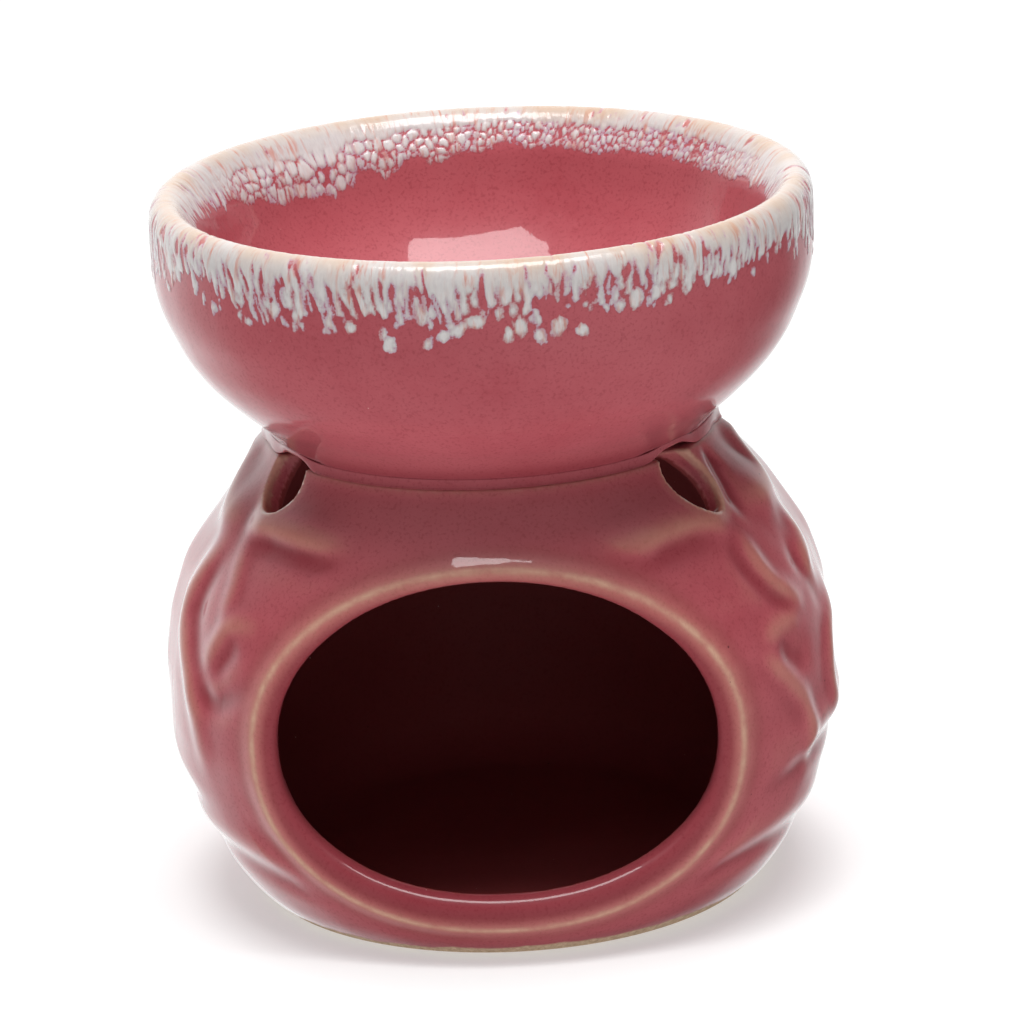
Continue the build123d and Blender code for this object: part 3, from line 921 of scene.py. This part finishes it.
def rim_white():
    """Opaque white glaze that ran: heavy and grey-white in the drips, tan where the crest shows through."""
    s = Shader("white_rim_glaze_fired")
    where = s.node("ShaderNodeTexCoord").outputs["Object"]
    spot = s.node("ShaderNodeSeparateXYZ", {0: where})
    flat = s.node("ShaderNodeCombineXYZ", {0: spot.outputs["X"], 1: spot.outputs["Y"], 2: 0.0}).outputs[0]
    round_ = s.node("ShaderNodeVectorMath", {0: flat}, operation="NORMALIZE").outputs[0]
    drop = s.attribute("drop")
    cover = s.attribute("cover")

    def streaked(fine, stretch):
        """Coordinates that follow the rim round and are drawn out down it."""
        around = s.node("ShaderNodeVectorMath", {0: round_, "Scale": fine}, operation="SCALE").outputs[0]
        parts = s.node("ShaderNodeSeparateXYZ", {0: around})
        down = s.math("MULTIPLY", drop, stretch)
        return s.node("ShaderNodeCombineXYZ", {0: parts.outputs[0], 1: parts.outputs[1], 2: down}).outputs[0]

    streak = s.noise(streaked(52, 0.2), 1.1, 3, 0.6, 0.4)
    fine = s.noise(streaked(52, 0.3), 2.8, 2, 0.6, 0.3)
    broad = s.noise(streaked(52, 0.12), 0.30, 2, 0.5)
    patch = s.noise(streaked(52, 0.05), 0.085, 2, 0.5)
    mottle = s.noise(where, 800, 3, 0.6)
    run_down = s.span(s.math("ABSOLUTE", drop), 1.5, 6.5)
    body = s.mix(s.math("MULTIPLY", s.span(fine, 0.38, 0.66), s.span(run_down, 0, 1, 0.25, 0.8)), WHITE, GREY)
    thinness = s.span(streak, 0.50, 0.66)
    crest = s.span(s.math("ABSOLUTE", s.math("ADD", drop, 0.2)), 0.2, 2.8, 1, 0)
    body = s.mix(s.math("MULTIPLY", thinness, s.span(broad, 0.37, 0.54, 0.18, 0.95)), body, SALMON)
    blush = s.math("MULTIPLY", s.span(patch, 0.46, 0.60, 0, 0.45), s.span(run_down, 0.1, 0.7, 1, 0))
    body = s.mix(blush, body, TAN)
    body = s.mix(s.math("MULTIPLY", crest, s.span(patch, 0.36, 0.56, 0.15, 0.8)), body, TAN)
    body = s.mix(s.math("MULTIPLY", s.span(mottle, 0.5, 0.75, 0, 0.5), crest), body, CREAM)
    halo = s.mix(s.span(broad, 0.4, 0.6), LAVENDER, THIN_PINK)
    fringe = s.noise(where, 2300, 2, 0.6)
    soft = s.math("ADD", cover, s.span(fringe, 0.3, 0.7, -0.13, 0.13))
    body = s.mix(s.span(soft, 0.14, 0.46, 0.85, 0), body, halo)
    body = s.mix(s.span(soft, 0.02, 0.20, 1, 0), body, s.mix(crest, ROSE_GAP, SALMON))
    heart = s.span(cover, 0.42, 0.8)
    body = s.mix(s.math("MULTIPLY", heart, s.span(run_down, 0.2, 1, 0, 0.5)), body, DRIP_HEART)
    s.link(body, "Base Color")
    s.link(s.span(mottle, 0.3, 0.7, 0.28, 0.42), "Roughness")
    s.principled.inputs["Coat Weight"].default_value = 1.0
    s.principled.inputs["Coat Roughness"].default_value = 0.05
    s.principled.inputs["Coat IOR"].default_value = 1.5
    s.principled.inputs["Specular IOR Level"].default_value = 0.35
    normal = s.bump(streak, 0.25, 0.00025)
    normal = s.bump(mottle, 0.15, 0.00008, normal)
    s.link(normal, "Normal")
    s.link(normal, "Coat Normal")
    return s.material


rose = rose_glaze()
build_base(rose)
build_neck(rose)
build_bowl(rose)
build_rim(rim_white())

# ---------------------------------------------------------------- floor, light and camera
FLOOR_SIZE = 6.0
FLOOR_GLOW = 0.42
ROOM_AXIS = (-0.30, 0.95, 0.0)


def build_floor():
    mesh = bpy.data.meshes.new("studio_floor")
    h = FLOOR_SIZE / 2
    mesh.from_pydata([(-h, -h, 0), (h, -h, 0), (h, h, 0), (-h, h, 0)], [], [(0, 1, 2, 3)])
    floor = bpy.data.objects.new("studio_floor", mesh)
    bpy.context.scene.collection.objects.link(floor)
    s = Shader("pale_floor")
    where = s.node("ShaderNodeTexCoord").outputs["Object"]
    s.link(s.mix(s.noise(where, 3, 2), (0.58, 0.58, 0.58), (0.62, 0.62, 0.62)), "Base Color")
    s.principled.inputs["Roughness"].default_value = 0.9
    s.principled.inputs["Specular IOR Level"].default_value = 0.1
    s.principled.inputs["Emission Color"].default_value = (1, 1, 1, 1)
    s.principled.inputs["Emission Strength"].default_value = FLOOR_GLOW
    mesh.materials.append(s.material)
    floor.visible_glossy = False


def build_world():
    """White paper all round, with a darker room in front of the pot and a pale ceiling."""
    world = bpy.data.worlds.new("studio")
    bpy.context.scene.world = world
    world.use_nodes = True
    tree = world.node_tree
    background = tree.nodes["Background"]
    coord = tree.nodes.new("ShaderNodeTexCoord")
    split = tree.nodes.new("ShaderNodeSeparateXYZ")
    tree.links.new(coord.outputs["Generated"], split.inputs[0])
    depth = tree.nodes.new("ShaderNodeMapRange")
    depth.interpolation_type = "SMOOTHSTEP"
    for index, value in enumerate((0.30, 0.98, 0.05, 1.1), 1):
        depth.inputs[index].default_value = value
    turned = tree.nodes.new("ShaderNodeVectorMath")
    turned.operation = "DOT_PRODUCT"
    tree.links.new(coord.outputs["Generated"], turned.inputs[0])
    turned.inputs[1].default_value = ROOM_AXIS
    tree.links.new(turned.outputs["Value"], depth.inputs[0])
    ceiling = tree.nodes.new("ShaderNodeMapRange")
    for index, value in enumerate((0.55, 0.92, 0.0, 0.38), 1):
        ceiling.inputs[index].default_value = value
    tree.links.new(split.outputs["Z"], ceiling.inputs[0])
    room = tree.nodes.new("ShaderNodeMath")
    room.operation = "ADD"
    tree.links.new(depth.outputs[0], room.inputs[0])
    tree.links.new(ceiling.outputs[0], room.inputs[1])
    path = tree.nodes.new("ShaderNodeLightPath")
    seen = tree.nodes.new("ShaderNodeMix")
    tree.links.new(path.outputs["Is Camera Ray"], seen.inputs[0])
    tree.links.new(room.outputs[0], seen.inputs[2])
    seen.inputs[3].default_value = 1.0
    tree.links.new(seen.outputs[0], background.inputs["Strength"])
    background.inputs["Color"].default_value = (1, 1, 1, 1)


def softbox(name, place, aim, size, power, mirrored):
    light = bpy.data.lights.new(name, "AREA")
    light.shape = "RECTANGLE"
    light.size, light.size_y = size
    light.energy = power
    lamp = bpy.data.objects.new(name, light)
    lamp.location = place
    lamp.rotation_euler = (Vector(aim) - Vector(place)).to_track_quat("-Z", "Y").to_euler()
    lamp.visible_camera = False
    lamp.visible_glossy = mirrored
    bpy.context.scene.collection.objects.link(lamp)


CAMERA_AWAY = 0.900
CAMERA_HEIGHT = 0.3377
CAMERA_BEARING = 2.1
CAMERA_ROLL = -2.75
AIM_HEIGHT = 0.0573
LENS = 207.7
SHIFT = (0.0153, 0.0155)


def build_camera():
    data = bpy.data.cameras.new("camera")
    data.lens = LENS
    data.sensor_width = 36.0
    data.shift_x, data.shift_y = SHIFT
    data.clip_start, data.clip_end = 0.05, 20
    camera = bpy.data.objects.new("camera", data)
    b = math.radians(CAMERA_BEARING)
    camera.location = (CAMERA_AWAY * math.sin(b), -CAMERA_AWAY * math.cos(b), CAMERA_HEIGHT)
    look = Vector((0, 0, AIM_HEIGHT)) - camera.location
    turn = look.to_track_quat("-Z", "Y").to_matrix() @ Matrix.Rotation(math.radians(CAMERA_ROLL), 3, "Z")
    camera.rotation_euler = turn.to_euler()
    bpy.context.scene.collection.objects.link(camera)
    bpy.context.scene.camera = camera


build_floor()
build_world()
softbox("softbox_over", (0.06, -0.20, 1.30), (0.02, -0.05, 0.08), (0.90, 0.55), 10.5, True)
softbox("fill_over", (0, 0.10, 1.25), (0, 0, 0.10), (0.8, 0.8), 9.5, False)
softbox("fill_left", (-0.95, -0.55, 0.50), (0, 0, 0.05), (0.6, 0.8), 1.3, False)
softbox("fill_right", (0.95, -0.50, 0.50), (0, 0, 0.05), (0.6, 0.8), 0.8, False)
softbox("fill_front", (0.1, -1.2, 0.45), (0, 0, 0.04), (0.7, 0.5), 1.0, False)
build_camera()
bpy.context.scene.view_settings.view_transform = "Standard"
